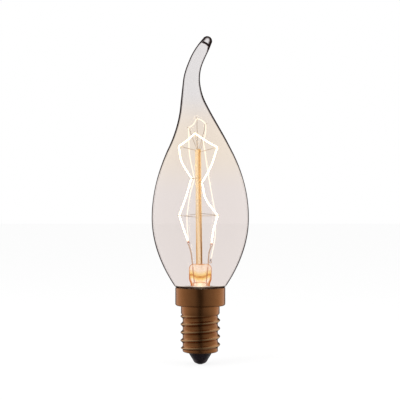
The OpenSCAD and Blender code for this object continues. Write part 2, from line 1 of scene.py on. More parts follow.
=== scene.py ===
# %% [markdown]
# # A bent-tip filament candle lamp
# The real lamp is a blown glass flame with a drawn, curved tail. Inside it two loops of coiled
# tungsten wire hang on hooks round a glass rod, and below it sits a small brass screw cap. The CAD
# model gives every piece its place and size. This lesson keeps that frame and builds finer
# surfaces and real finishes round it.

import bpy
import numpy as np
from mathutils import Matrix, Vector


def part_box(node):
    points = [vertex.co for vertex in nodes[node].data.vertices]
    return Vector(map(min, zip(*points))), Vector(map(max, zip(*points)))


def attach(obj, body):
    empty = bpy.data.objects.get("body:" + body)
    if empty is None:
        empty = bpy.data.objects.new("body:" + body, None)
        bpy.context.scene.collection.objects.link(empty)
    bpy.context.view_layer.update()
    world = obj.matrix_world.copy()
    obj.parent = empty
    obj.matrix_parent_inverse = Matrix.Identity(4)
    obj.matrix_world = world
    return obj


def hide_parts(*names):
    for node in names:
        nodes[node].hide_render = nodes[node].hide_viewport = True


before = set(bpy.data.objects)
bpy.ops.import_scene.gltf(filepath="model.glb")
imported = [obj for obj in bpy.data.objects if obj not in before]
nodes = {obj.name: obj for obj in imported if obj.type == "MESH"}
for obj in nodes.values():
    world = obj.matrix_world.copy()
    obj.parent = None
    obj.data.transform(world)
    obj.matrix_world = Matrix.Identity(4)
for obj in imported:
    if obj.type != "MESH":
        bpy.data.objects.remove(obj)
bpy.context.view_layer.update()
print("CAD nodes:", len(nodes))

# %% [markdown]
# ## From numbers to surfaces
# Nearly every piece of a lamp is drawn, blown or rolled, so it is a row of rings. One function
# turns a grid of ring points in millimetres into a closed mesh. Whether the rings ran one way or
# the other is settled by the sign of the volume they enclose, so the faces always point outwards.


# %% Grid to closed mesh
def outward(points, faces):
    """The faces, all turned over if the solid they close has a negative volume, which is the sum
    over fans of triangles of a . (b x c) / 6."""
    total = 0.0
    for count in {len(f) for f in faces}:
        same = np.array([f for f in faces if len(f) == count])
        a = points[same[:, 0]]
        for k in range(1, count - 1):
            total += np.einsum("ij,ij->", a, np.cross(points[same[:, k]], points[same[:, k + 1]]))
    return faces if total > 0 else [f[::-1] for f in faces]


def piece(name, rings, looped=False, also=(), **attributes):
    """A closed mesh object from rings of points, an array of rings x points x 3 in millimetres.
    A looped row of rings closes on itself, and any other row is closed by a face at each end.
    also holds more grids for the same mesh, and each attribute is one number per point."""
    points, faces, flat = [], [], []
    start = 0
    for grid in (rings, *also):
        grid = np.asarray(grid, float)
        rows, cols = grid.shape[:2]
        index = start + np.arange(rows * cols).reshape(rows, cols)
        below = index if looped else index[:-1]
        above = np.roll(index, -1, axis=0) if looped else index[1:]
        quads = (below, above, np.roll(above, -1, 1), np.roll(below, -1, 1))
        sides = np.stack(quads, -1).reshape(-1, 4).tolist()
        ends = [] if looped else [index[0].tolist(), index[-1, ::-1].tolist()]
        flat += [False] * len(sides) + [True] * len(ends)
        flesh = grid.reshape(-1, 3)
        shifted = [[i - start for i in f] for f in sides + ends]
        faces += [[i + start for i in f] for f in outward(flesh, shifted)]
        points.append(flesh)
        start += rows * cols
    points = np.concatenate(points)
    mesh = bpy.data.meshes.new(name)
    mesh.from_pydata(points * 0.001, [], faces)
    mesh.polygons.foreach_set("use_smooth", ~np.array(flat))
    for key, values in attributes.items():
        store = mesh.attributes.new(key, "FLOAT", "POINT")
        store.data.foreach_set("value", np.asarray(values, np.float32).ravel())
    mesh.update()
    made = bpy.data.objects.new(name, mesh)
    bpy.context.scene.collection.objects.link(made)
    return made


def stands_for(made, node, finish):
    """The new piece rides on the body, replaces a CAD node and wears a finish. It prints how far
    the piece reaches beyond the node's box, on the side where it does so most."""
    made.data.materials.append(finish)
    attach(made, "root")
    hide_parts(node)
    at = np.empty(3 * len(made.data.vertices))
    made.data.vertices.foreach_get("co", at)
    at = at.reshape(-1, 3)
    low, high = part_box(node)
    beyond = max((np.array(low) - at.min(0)).max(), (at.max(0) - np.array(high)).max()) * 1000
    print(f"{made.name}: {len(made.data.polygons)} faces, {beyond:.2f} mm beyond {node}")


# %% [markdown]
# ## Paths and wires
# A wire is a circle carried along a path. The circle must not twist, so each ring's normal is the
# last one with its part along the new direction taken away. The steps run over rings, not points.


# %% Curves through knots and points
def between(knots, z):
    """Cubic through knots of (place, value, slope): two values and two slopes blended by the four
    Hermite weights of t, the share of the way from one knot to the next."""
    k = np.asarray(knots, float)
    i = np.clip(np.searchsorted(k[:, 0], z, side="right") - 1, 0, len(k) - 2)
    a, b = k[i], k[i + 1]
    h = b[..., 0] - a[..., 0]
    t = (z - a[..., 0]) / h
    value = a[..., 1] * (2 * t**3 - 3 * t**2 + 1) + b[..., 1] * (3 * t**2 - 2 * t**3)
    return value + h * (a[..., 2] * (t**3 - 2 * t**2 + t) + b[..., 2] * (t**3 - t**2))


def through(stops, steps):
    """A smooth path through points: between b and c it is the cubic whose slope at each is half
    the way from the point before it to the point after it."""
    p = np.asarray(stops, float)
    a, b, c, e = p[[0, *range(len(p) - 2)]], p[:-1], p[1:], p[[*range(2, len(p)), -1]]
    t = (np.arange(steps) / steps)[None, :, None]
    a, b, c, e = (q[:, None, :] for q in (a, b, c, e))
    way = 0.5 * (2 * b + (c - a) * t + (2 * a - 5 * b + 4 * c - e) * t**2)
    way = way + 0.5 * (3 * b - a - 3 * c + e) * t**3
    return np.concatenate([way.reshape(-1, 3), p[-1:]])


def circle(sides):
    """Evenly spaced angles round a circle."""
    return 2 * np.pi * np.arange(sides) / sides


def unit(v):
    """Each vector divided by its own length."""
    return v / np.linalg.norm(v, axis=-1, keepdims=True)


def untwisted(path):
    """Directions along a path, and two normals that turn with it as little as they can."""
    ways = unit(np.gradient(path, axis=0))
    side = np.cross(ways[0], [0.31, 0.87, 0.38])
    normals = []
    for way in ways:
        side = side - (side @ way) * way
        side = side / np.linalg.norm(side)
        normals.append(side)
    normals = np.array(normals)
    return ways, normals, np.cross(ways, normals)


def around(n, b, sides):
    """Directions round each point of a path: cos a n + sin a b, at evenly spaced angles a."""
    a = circle(sides)[None, :, None]
    return np.cos(a) * n[:, None] + np.sin(a) * b[:, None]


def wire_rings(path, radius, sides=12):
    """Rings of a round wire: centre + radius (cos a n + sin a b), with two shrinking rings at each
    end, set along the path by the sine of the same angle, for a rounded end."""
    ways, n, b = untwisted(path)
    tip = np.radians([75, 35])
    r = np.concatenate([radius * np.cos(tip), np.full(len(path) - 2, float(radius)),
                        radius * np.cos(tip[::-1])])
    path = np.concatenate([path[:1] + radius * (1 - np.sin(tip))[:, None] * ways[0],
                           path[1:-1],
                           path[-1:] - radius * (1 - np.sin(tip[::-1]))[:, None] * ways[-1]])
    n, b = (np.concatenate([v[:1], v, v[-1:]]) for v in (n, b))
    return path[:, None] + r[:, None, None] * around(n, b, sides)


# %% [markdown]
# ## Nodes and colours
# Colours are picked as sRGB hex values, as a screen shows them, and the shaders want linear light.
# One function adds any node, so that a finish reads as a short list of what feeds what.


# %% Colour and node helpers
def light_of(code):
    """Linear colour of an sRGB hex code: below 0.04045 a straight line, above it a power of 2.4.
    Anything but a code comes back as it is."""
    if not isinstance(code, str):
        return code
    s = np.array([int(code[i:i + 2], 16) for i in (1, 3, 5)]) / 255
    lin = np.where(s <= 0.04045, s / 12.92, ((s + 0.055) / 1.055) ** 2.4)
    return (*lin.tolist(), 1.0)


def add(tree, kind, values=None, stops=(), **settings):
    """Adds one node. values are its inputs: constants, hex codes, other nodes' outputs, or other
    nodes, which stand for their first output in use. settings are its own choices, and stops the
    places from 0 to 1 and the colours along a colour ramp."""
    node = tree.nodes.new("ShaderNode" + kind)
    for key, value in settings.items():
        setattr(node, key, value)
    for _ in stops[2:]:
        node.color_ramp.elements.new(0.5)
    for k, (at, colour) in enumerate(stops):
        stop = node.color_ramp.elements[k]
        stop.position, stop.color = at, light_of(colour)
    for place, value in (values or {}).items():
        if isinstance(value, bpy.types.Node):
            value = next(out for out in value.outputs if out.enabled)
        if isinstance(value, bpy.types.NodeSocket):
            tree.links.new(value, node.inputs[place])
        else:
            node.inputs[place].default_value = light_of(value)
    return node


# Settings that many nodes share: a range with soft ends, and a mix of two colours
SOFT, COLOURS = {"interpolation_type": "SMOOTHSTEP"}, {"data_type": "RGBA"}


def finish(name):
    """An empty material, and the tree that its nodes go in."""
    made = bpy.data.materials.new(name)
    made.use_nodes = True
    made.node_tree.nodes.clear()
    return made, made.node_tree


def mottled(name, scale, detail, colours, rough, given, bump=None, painted_glow=0.0):
    """A finish that varies by one noise, whose scale is how many grains fit in a metre. Its colour
    goes between two, and so does its roughness where it is a pair. given are the shader's other
    inputs, bump is a strength and a depth in metres, and the glow is a faint painted light in the
    same colour, which stands in for the filaments' light falling on the piece."""
    made, tree = finish(name)
    noise = add(tree, "TexNoise", {"Vector": add(tree, "TexCoord").outputs["Object"],
                                   "Scale": scale, "Detail": detail})
    tone = add(tree, "Mix", {0: noise, 6: colours[0], 7: colours[1]}, **COLOURS)
    if isinstance(rough, tuple):
        rough = add(tree, "MapRange", {0: noise, 3: rough[0], 4: rough[1]})
    values = {"Base Color": tone, "Roughness": rough, **given}
    if painted_glow:
        values |= {"Emission Color": tone, "Emission Strength": painted_glow}
    if bump:
        values["Normal"] = add(tree, "Bump", {"Strength": bump[0], "Distance": bump[1],
                                              "Height": noise})
    add(tree, "OutputMaterial", {0: add(tree, "BsdfPrincipled", values)})
    return made


# %% [markdown]
# ## The camera
# The photograph is taken level, from the height of the bulb's middle. One pixel is 0.35 mm at the
# lamp's axis, and the skirt's lower edge dips by 2 px in the middle, which a lens 1200 px away
# gives. So the camera stands 420 mm in front and sees 140 mm across 400 px, which count from 0
# to 399, with their middle at 199.5.

# %% Camera at the photograph's angle
PX = 0.35
DISTANCE = 1200 * PX
axis_px, foot_px, middle_px = 199.8, 363.5, 199.5
camera_data = bpy.data.cameras.new("camera")
camera_data.sensor_width = 36.0
camera_data.lens = 36.0 * DISTANCE / (400 * PX)
camera_data.clip_start = 0.01
camera = bpy.data.objects.new("camera", camera_data)
bpy.context.scene.collection.objects.link(camera)
aim = ((middle_px - axis_px) * PX, -DISTANCE, (foot_px - middle_px) * PX)
camera.location = [v * 0.001 for v in aim]
camera.rotation_euler = (np.pi / 2, 0, 0)
bpy.context.scene.camera = camera
bpy.context.scene.view_settings.view_transform = "Standard"
print("camera at", [round(v) for v in aim], "mm, lens", round(camera_data.lens, 1))

# %% [markdown]
# ## The studio
# The lamp was photographed against white, in a room that is dark towards the lens and has a soft
# box on each side. Shiny metal shows all of that: a dark band up the middle, where it mirrors the
# camera's own corner, and a lighter flank on each side. So the world is plain soft light for
# diffuse surfaces, white for the camera, and for mirror rays a row of light and dark cards. Its
# light isn't sampled as a lamp, because such samples can't tell a mirror ray from any other.

# %% World with soft boxes
world = bpy.data.worlds.new("studio")
bpy.context.scene.world = world
world.use_nodes = True
world.cycles.sampling_method = "NONE"
sky = world.node_tree
sky.nodes.clear()
# How far the ray turns to the camera's side, from -1 to 1, and how bright the cards are there
CARDS = [(-0.99, 0.3), (-0.98, 0.02), (-0.87, 0.02), (-0.82, 0.84), (-0.75, 0.84), (0.0, 0.45),
         (0.93, 0.19), (1.0, 0.04)]
ray = add(sky, "LightPath")
way = add(sky, "SeparateXYZ", {0: add(sky, "TexCoord").outputs["Generated"]})
x, y = way.outputs["X"], way.outputs["Y"]
flat_x = add(sky, "Math", {0: x, 1: x}, operation="MULTIPLY")
flat_y = add(sky, "Math", {0: y, 1: y}, operation="MULTIPLY")
level = add(sky, "Math", {0: flat_x, 1: flat_y}, operation="ADD")
root = add(sky, "Math", {0: level, 1: 0.5}, operation="POWER")
turn = add(sky, "Math", {0: y, 1: root}, operation="DIVIDE")
place = add(sky, "MapRange", {0: turn, 1: 1.0, 2: -1.0})
cards = add(sky, "ValToRGB", {0: place}, stops=[((at + 1) / 2, (b, b, b, 1)) for at, b in CARDS])
down = add(sky, "MapRange", {0: way.outputs["Z"], 1: -0.85, 2: -0.35, 3: 0.3, 4: 1.0})
mirrored = add(sky, "Mix", {0: 1.0, 6: cards, 7: down}, blend_type="MULTIPLY", **COLOURS)
soft = add(sky, "Mix", {0: ray.outputs["Is Glossy Ray"], 6: (0.8, 0.8, 0.8, 1), 7: mirrored},
           **COLOURS)
seen = add(sky, "Math", {0: ray.outputs["Is Camera Ray"], 1: ray.outputs["Is Transmission Ray"]},
           operation="MAXIMUM")
shown = add(sky, "Mix", {0: seen, 6: soft, 7: (1, 1, 1, 1)}, **COLOURS)
add(sky, "OutputWorld", {0: add(sky, "Background", {0: shown, 1: 1.0})})

# %% Two soft lamps
for name, at, power, size in (("key", (-380, -330, 330), 1.6, 0.35),
                              ("fill", (420, -240, 200), 0.8, 0.35)):
    lamp_data = bpy.data.lights.new(name, "AREA")
    lamp_data.energy = power
    lamp_data.size = size
    lamp = bpy.data.objects.new(name, lamp_data)
    bpy.context.scene.collection.objects.link(lamp)
    lamp.location = [v * 0.001 for v in at]
    towards = np.array([0, 0, 57]) - np.array(at)
    flat = np.hypot(*towards[:2])
    lamp.rotation_euler = (np.arctan2(flat, -towards[2]), 0, np.arctan2(-towards[0], towards[1]))
    lamp.visible_glossy = False
    print(name, "lamp", power, "W")

# %% [markdown]
# ## The floor
# The lamp stands on its contact, on plain white. Most of what the camera sees of the floor is a
# white of strength 1, and the rest is a matt white that keeps a faint shadow. Mirror rays pass
# through it to the studio's cards, because the lamp is lit as if it hung free.

# %% Floor
paper, tree = finish("matt white paper")
ray = add(tree, "LightPath")
share = add(tree, "Math", {0: ray.outputs["Is Camera Ray"], 1: 0.8}, operation="MULTIPLY")
fibres = add(tree, "TexNoise", {"Scale": 900.0, "Detail": 2.0})
tone = add(tree, "Mix", {0: fibres, 6: "#F4F4F4", 7: "#FAFAFA"}, **COLOURS)
matt = add(tree, "BsdfPrincipled", {"Base Color": tone, "Roughness": 0.9})
white = add(tree, "Emission", {"Color": (1, 1, 1, 1), "Strength": 1.04})
lit = add(tree, "MixShader", {0: share, 1: matt, 2: white})
let_by = add(tree, "BsdfTransparent")
add(tree, "OutputMaterial", {0: add(tree, "MixShader", {0: ray.outputs["Is Glossy Ray"], 1: lit,
                                                        2: let_by})})
reach = 2500.0
corner = np.array([[-reach, -reach], [reach, -reach], [reach, reach], [-reach, reach]])
floor = piece("floor", [[(x, y, z) for x, y in corner] for z in (-2.0, -0.02)])
floor.data.materials.append(paper)

# %% [markdown]
# ## Sizes that the surfaces share
# These are the CAD model's own values in millimetres, because this script can't read its source.

# %% Sizes
contact_h, shell_z, thread_z, land_z, shoulder_z = 1.8, 3.95, 5.0, 17.7, 20.5
flare_z, neck_z, rim_z = 21.65, 22.55, 26.8
press_z, press_top_z, bead_z, bead_r = 29.2, 35.0, 113.0, 1.75
neck_r, skirt_r, sheet = 7.7, 8.75, 0.35

# %% [markdown]
# ## The blown envelope
# The bulb is a tube of glass blown in a mould, and its end is drawn out hot and bent to one side
# and back. Its outline is a radius for each height, its bend is a centre for each height, and each
# ring stands square to the bend. The wall is 0.7 mm, so an inner skin follows the outer one, and
# both close in a dome: solid glass is left at the very tip, where the tail was melted off. The
# bore's end is drawn 0.3 mm higher than in the CAD, because its dark line is seen there.

# %% Envelope surface
OUTLINE = [(neck_z, neck_r, 0), (26.3, neck_r, 0), (27.5, 9.15, 0.66), (51.2, 17.0, 0),
           (75.5, 10.95, -0.49), (88.7, 5.2, -0.335), (99.9, 2.9, -0.08), (105.5, 2.45, -0.025),
           (bead_z, bead_r, -0.22)]
BEND = [(neck_z, 0, 0), (52.0, 0, 0), (75.4, -0.589, -0.055), (90.0, -2.418, -0.175),
        (98.2, -3.1, 0), (106.9, -1.023, 0.45), (bead_z, 2.4, 0.58)]
wall, solid_z = 0.7, bead_z - 0.6
DOME_STEPS = 14


def bend_centre(z):
    """Centre of the glass at each height: sideways by the bend's curve, and up by the height."""
    return np.stack([between(BEND, z), 0 * z, z], -1)


def bend_way(z):
    """Direction of the glass at each height, from two centres 0.1 mm apart."""
    return unit(bend_centre(np.minimum(z + 0.05, bead_z)) - bend_centre(np.maximum(z - 0.05, neck_z)))


def glass_rings(z, r, along=None, sides=112):
    """Rings of radius r, square to the bend at heights z and moved along it."""
    centre, way = bend_centre(z), bend_way(z)
    if along is not None:
        centre = centre + along[:, None] * way
    a = circle(sides)
    across = np.stack([np.cos(a) * way[:, 2:3], np.sin(a) + 0 * way[:, 2:3],
                       -np.cos(a) * way[:, 0:1]], -1)
    return centre[:, None] + np.asarray(r)[:, None, None] * across


def dome(z, r, rise=1.0):
    """Rings that close a tube of radius r at height z: radius r cos a, moved along by rise times
    r sin a."""
    a = np.radians(np.linspace(0, 87, DOME_STEPS))
    return glass_rings(np.full(DOME_STEPS, z), r * np.cos(a), rise * r * np.sin(a))


def heights(low, high, step):
    """Evenly spaced heights, about one step apart."""
    return np.linspace(low, high, int(np.ceil((high - low) / step)) + 1)


mouth = heights(neck_z, 27.9, 0.25)[:-1]
outer_z = np.concatenate([mouth, heights(27.9, bead_z, 0.62)[:-1]])
inner_z = np.concatenate([mouth, heights(27.9, solid_z, 0.62)[:-1]])
outer_r, inner_r = between(OUTLINE, outer_z), between(OUTLINE, inner_z) - wall
tip_r = float(between(OUTLINE, np.array(solid_z)) - wall)
outer = np.concatenate([glass_rings(outer_z, outer_r), dome(bead_z, bead_r)])
inner = np.concatenate([glass_rings(inner_z, inner_r), dome(solid_z, tip_r, 0.1)])
shell = np.concatenate([inner[::-1], outer])


def per_point(inside, outside):
    """One number for each point, from one number for each ring."""
    rows = np.concatenate([inside[::-1], outside])
    return np.repeat(rows[:, None], shell.shape[1], 1)


def with_dome(rings, *domed):
    """One number for each ring of the tube, and then for each ring of its dome: all the same, or
    evenly from one to another."""
    return np.concatenate([rings, np.linspace(domed[0], domed[-1], DOME_STEPS)])


slope = np.gradient(outer_r, outer_z)
curve_mm = per_point(with_dome(inner_r, tip_r),
                     with_dome(outer_r * np.sqrt(1 + slope**2), bead_r))
# Depth of the painted dark line in millimetres by height, which is painted deeper round the tip's
# right side
LINE_AT = np.array([(neck_z, 0.3), (30, 0.3), (40, 0.36), (51, 0.27), (64, 0.24), (80, 0.5),
                    (92, 0.56), (99, 0.4), (111.0, 0.36), (bead_z, 0.85)])
line_mm = per_point(with_dome(np.full(len(inner_z), 0.01), 3.0),
                    with_dome(np.interp(outer_z, *LINE_AT.T), 0.85, 0.35))
# Painted shade: the dark line is made deeper on the tip's +X side from 110.3 mm up
TIP_FROM, TIP_OVER, TIP_MORE = 110.3, 1.2, 0.45
tip = np.clip((with_dome(outer_z, bead_z) - TIP_FROM) / TIP_OVER, 0, 1)
right = np.clip(np.cos(circle(shell.shape[1])), 0, 1)
line_mm[len(inner):] += TIP_MORE * tip[:, None] * right[None]
# The tint lies on the outer skin alone, and the collar is the band just over the rim where the glass
# is thick, which carries a painted dark crease shadow and a painted light band above it
hidden = np.zeros(len(inner))
collar = with_dome(np.exp(-((outer_z - 27.2) / 0.6) ** 8), 0.0)
envelope = piece("envelope", shell, curve_mm=curve_mm, line_mm=line_mm,
                 tint=per_point(hidden, np.ones(len(outer))), collar=per_point(hidden, collar))

# %% [markdown]
# ## Blown soda-lime glass
# Thin glass bends light hardly at all, so what is behind it shows straight through, a little grey.
# The exception is the rim, where the line of sight runs along inside the wall and would gather
# light from the dark sides of the studio: there a fine dark line is painted into the glass's tint
# as a painted reflection. How deep a ray passes inside the rim is R (1 - sqrt(1 - c c)), with c the
# cosine to the surface and R its radius of curvature, so the line keeps its real width on the fat
# bulb and on the thin tail.

# %% Envelope glass
blown, tree = finish("blown soda-lime glass")
z = add(tree, "SeparateXYZ", {0: add(tree, "TexCoord").outputs["Object"]}).outputs["Z"]
curve, line, tinted, collar = (add(tree, "Attribute", attribute_name=name).outputs["Fac"]
                               for name in ("curve_mm", "line_mm", "tint", "collar"))
facing = add(tree, "LayerWeight", {"Blend": 0.5}).outputs["Facing"]
cosine = add(tree, "Math", {0: 1.0, 1: facing}, operation="SUBTRACT")
square = add(tree, "Math", {0: cosine, 1: 2.0}, operation="POWER")
rest = add(tree, "Math", {0: 1.0, 1: square}, operation="SUBTRACT", use_clamp=True)
root = add(tree, "Math", {0: rest}, operation="SQRT")
share = add(tree, "Math", {0: 1.0, 1: root}, operation="SUBTRACT")
depth = add(tree, "Math", {0: share, 1: curve}, operation="MULTIPLY")
ratio = add(tree, "Math", {0: depth, 1: line}, operation="DIVIDE")
rim = add(tree, "MapRange", {0: ratio, 1: 0.45, 2: 1.5, 3: 1.0, 4: 0.0}, **SOFT)
# Painted light: a warm band on the glass from 58 to 96 mm high, where the filaments' light falls on
# it
rise = add(tree, "MapRange", {0: z, 1: 0.058, 2: 0.076}, **SOFT)
fall = add(tree, "MapRange", {0: z, 1: 0.080, 2: 0.096, 3: 1.0, 4: 0.0}, **SOFT)
painted_filament_glow = add(tree, "Math", {0: rise, 1: fall}, operation="MULTIPLY")
high = add(tree, "MapRange", {0: z, 1: 0.080, 2: 0.094}, **SOFT)
body = add(tree, "Mix", {0: high, 6: "#F5F0EE", 7: "#F3F1F1"}, **COLOURS)
warm = add(tree, "Mix", {0: painted_filament_glow, 6: body, 7: "#F8F1E9"}, **COLOURS)
drawn = add(tree, "Mapping", {0: add(tree, "TexCoord").outputs["Object"], 3: (60, 60, 18)})
streaks = add(tree, "TexNoise", {"Vector": drawn, "Scale": 1.0})
uneven = add(tree, "MapRange", {0: streaks, 1: 0.3, 2: 0.7, 3: 0.985, 4: 1.0})
grey = add(tree, "Mix", {0: 1.0, 6: warm, 7: uneven}, blend_type="MULTIPLY", **COLOURS)
clear = add(tree, "Mix", {0: tinted, 6: (1, 1, 1, 1), 7: grey}, **COLOURS)
# Painted reflection: at the rim the see-through colour turns dark brown-grey
see = add(tree, "BsdfTransparent", {0: add(tree, "Mix", {0: rim, 6: clear, 7: "#5C4C4A"},
                                           **COLOURS)})
gloss = add(tree, "BsdfAnisotropic", {"Color": (1, 1, 1, 1), "Roughness": 0.04})
bare = add(tree, "Math", {0: 1.0, 1: rim}, operation="SUBTRACT")
graze = add(tree, "Math", {0: facing, 1: 4.0}, operation="POWER")
shine = add(tree, "MapRange", {0: graze, 3: 0.02, 4: 0.16})
polish = add(tree, "Math", {0: shine, 1: bare}, operation="MULTIPLY")
outside = add(tree, "Math", {0: polish, 1: tinted}, operation="MULTIPLY")
glass = add(tree, "MixShader", {0: outside, 1: see, 2: gloss})
# Painted on the collar: a dark crease shadow low down, where the glass meets the brass rim, and a
# painted light band above it; the shader named thick carries only these painted colours
lens = add(tree, "MapRange", {0: z, 1: 0.02756, 2: 0.0277}, **SOFT)
painted_crease_and_light = add(tree, "Mix", {0: lens, 6: "#38241A", 7: "#F2E4D6"}, **COLOURS)
thick = add(tree, "BsdfPrincipled", {"Base Color": painted_crease_and_light, "Roughness": 0.4,
                                     "Specular IOR Level": 0.1})
near = add(tree, "MapRange", {0: add(tree, "Fresnel", {"IOR": 1.8}), 1: 0.2, 2: 0.6, 3: 0.96,
                              4: 0.0})
share = add(tree, "Math", {0: collar, 1: near}, operation="MULTIPLY")
add(tree, "OutputMaterial", {0: add(tree, "MixShader", {0: share, 1: glass, 2: thick})})
stands_for(envelope, "glass_envelope", blown)

# %% [markdown]
# ## The two filaments
# Each filament is a fine tungsten wire wound into a coil and strung over hooks as a zigzag loop.
# Its route is a smooth path through the hooks' eyes, with the middle of each run drawn aside a
# little, as a slack coil hangs. The coil is a second path round that one, and the wire a third.

# %% Routes of the filaments
FRONT_STOPS = [(-4.1, -0.3, 7.4), (-7.3, -4.0, 17.0), (-3.1, -1.9, 29.9), (-7.5, -3.2, 41.1),
               (-1.85, -4.6, 45.5), (5.9, -4.4, 40.65), (0.6, -2.5, 28.4), (6.0, -3.8, 17.0),
               (3.85, -0.2, 6.7)]
FRONT_BOWS = [(0, 0, -0.2), (0.2, 0.3, 0), (-1.2, -0.2, 0.2), (-0.3, 0, -0.5), (0, 0, -0.25),
              (0.5, 0.2, -0.3), (-1.4, 0.3, 0.1), (-0.45, 0, -0.3)]
BACK_STOPS = [(-4.0, 0.35, 7.4), (-4.7, 3.2, 17.0), (-2.1, 1.9, 29.9), (-4.15, 4.4, 47.95),
              (-1.25, 3.4, 51.2), (1.95, 3.7, 49.2), (1.1, 4.2, 42.9), (5.4, 3.6, 17.2),
              (3.6, 0.35, 0.9)]
BACK_BOWS = [(-0.2, 0.2, 0), (-0.4, 0, 0), (-0.7, 0.8, 0), (0.2, 0, -0.5), (0.2, 0, 0.3),
             (0.3, 0, 0), (-0.2, 0, 0), (0.7, 0.2, 0)]


def route(stops, bows):
    """Four points to a run: its start, a tenth of the way, the middle moved by the whole bow, and
    a tenth before the end, where the bow counts a fifth."""
    s, bow = np.array(stops, float) + [0, 0, press_top_z], np.array(bows, float)
    a, b = s[:-1], s[1:]
    run = np.stack([a, a + (b - a) * 0.1 + bow * 0.2, (a + b) / 2 + bow,
                    b - (b - a) * 0.1 + bow * 0.2], 1)
    return np.concatenate([run.reshape(-1, 3), s[-1:]])


front_route, back_route = route(FRONT_STOPS, FRONT_BOWS), route(BACK_STOPS, BACK_BOWS)


def far_along(path):
    """How far along a path each of its points is."""
    return np.concatenate([[0], np.cumsum(np.linalg.norm(np.diff(path, axis=0), axis=1))])


def spaced(path, step):
    """Evenly spaced places on a path, and how far along it they are."""
    lengths = far_along(path)
    far = np.linspace(0, lengths[-1], int(lengths[-1] / step) + 1)
    return np.stack([np.interp(far, lengths, path[:, k]) for k in range(3)], -1), far


STEPS = 24


def coil_rings(way_points, outside_d, wire_d, pitch, per_turn=9, sides=5):
    """A coil round a path: its centre line is path + R (cos p n + sin p b), with p one turn to
    each pitch. The wire's rings lie in the plane of the coil's radius and the direction square to
    it and to the wire, so they need no carrying along."""
    base, far = spaced(through(way_points, STEPS), pitch / per_turn)
    _, n, b = untwisted(base)
    phase = (2 * np.pi * far / pitch)[:, None]
    out = np.cos(phase) * n + np.sin(phase) * b
    centre = base + (outside_d - wire_d) / 2 * out
    way = unit(np.gradient(centre, axis=0))
    out = unit(out - np.einsum("ij,ij->i", out, way)[:, None] * way)
    return centre[:, None] + wire_d / 2 * around(out, np.cross(way, out), sides), far


def glow_of(far, hooks_at):
    """Heat from 0 to 1: full in the open, and lower near the places where a hook or a clamp draws
    heat away, by the sum of a bell curve for each."""
    cool = np.exp(-((far[:, None] - hooks_at[None]) / 0.55) ** 2).sum(1) * 0.25
    ends = np.exp(-(far / 1.2) ** 2) + np.exp(-((far[-1] - far) / 1.2) ** 2)
    return np.clip(1 - cool - ends, 0, 1)


# %% [markdown]
# ## Glowing tungsten
# Hot tungsten is warm white, and where a clamp cools it, orange and then dark. An attribute gives
# the heat along the wire, and the colour follows it. The strength is far above 1, so that the wire
# reads as a light and lights the glass round it.


# %% Coils and their glow
def tungsten(name, strength, hot):
    """Grey metal wire whose glow follows its own attribute, from dull orange to the hot colour."""
    made, tree = finish(name)
    heat = add(tree, "Attribute", attribute_name="glowing").outputs["Fac"]
    rise = add(tree, "MapRange", {0: heat, 1: 0.15, 2: 0.8}, **SOFT)
    tone = add(tree, "Mix", {0: rise, 6: "#4A1804", 7: hot}, **COLOURS)
    add(tree, "OutputMaterial", {0: add(tree, "BsdfPrincipled", {
        "Base Color": "#55504A", "Metallic": 1.0, "Roughness": 0.45,
        "Emission Color": tone, "Emission Strength": strength})})
    return made


COIL_D, WIRE_D, COIL_PITCH = 0.5, 0.13, 0.3
for name, way_points, strength, hot in (
        ("filament_front", front_route, 9.0, "#FFE9B4"),
        ("filament_back", back_route, 1.5, "#FFF3E2")):
    rings, far = coil_rings(way_points, COIL_D, WIRE_D, COIL_PITCH)
    # Every fourth point of the route is a stop, and the first six hooks cool the wire
    hooks_at = far_along(through(way_points, STEPS))[::4 * STEPS][1:7]
    heat = np.repeat(glow_of(far, hooks_at)[:, None], rings.shape[1], 1)
    coil = piece(name.replace("filament", "coil"), rings, glowing=heat)
    stands_for(coil, name, tungsten("hot tungsten, " + name[9:], strength, hot))
    print(name, "path", round(float(far[-1]), 1), "mm,", round(far[-1] / COIL_PITCH), "turns")

# %% [markdown]
# ## The drawn glass rod
# The rod was drawn by hand and carries fourteen molybdenum hooks, each pushed in while the glass
# was soft. So it has a fire-rounded top and a small swelling round each hook's foot.

# %% Rod
LEAN, ASIDE = np.tan(np.radians(0.6)), 0.35
rod_r, rod_h, rod_seat, hook_depth = 1.1, 40.4, 1.2, 0.6
FRONT_FEET = [16.4, 29.9, 39.7, 39.9, 39.2, 28.7, 16.8]
BACK_FEET = [17.5, 30.4, 39.9, 40.0, 39.9, 38.4, 17.7]


def rod_axis(h):
    """The rod's centre at a height above the press. It leans to the left as it rises."""
    h = np.asarray(h, float)
    return np.stack([-ASIDE - h * LEAN, 0 * h, press_top_z + h], -1)


def foot_of(stop, h):
    """Where a hook starts: inside the rod, on the side that faces its stop."""
    out = np.array([stop[0] - rod_axis(h)[0], stop[1], 0])
    out = out / np.linalg.norm(out)
    return rod_axis(h) + (rod_r - hook_depth) * out, np.arctan2(out[1], out[0])


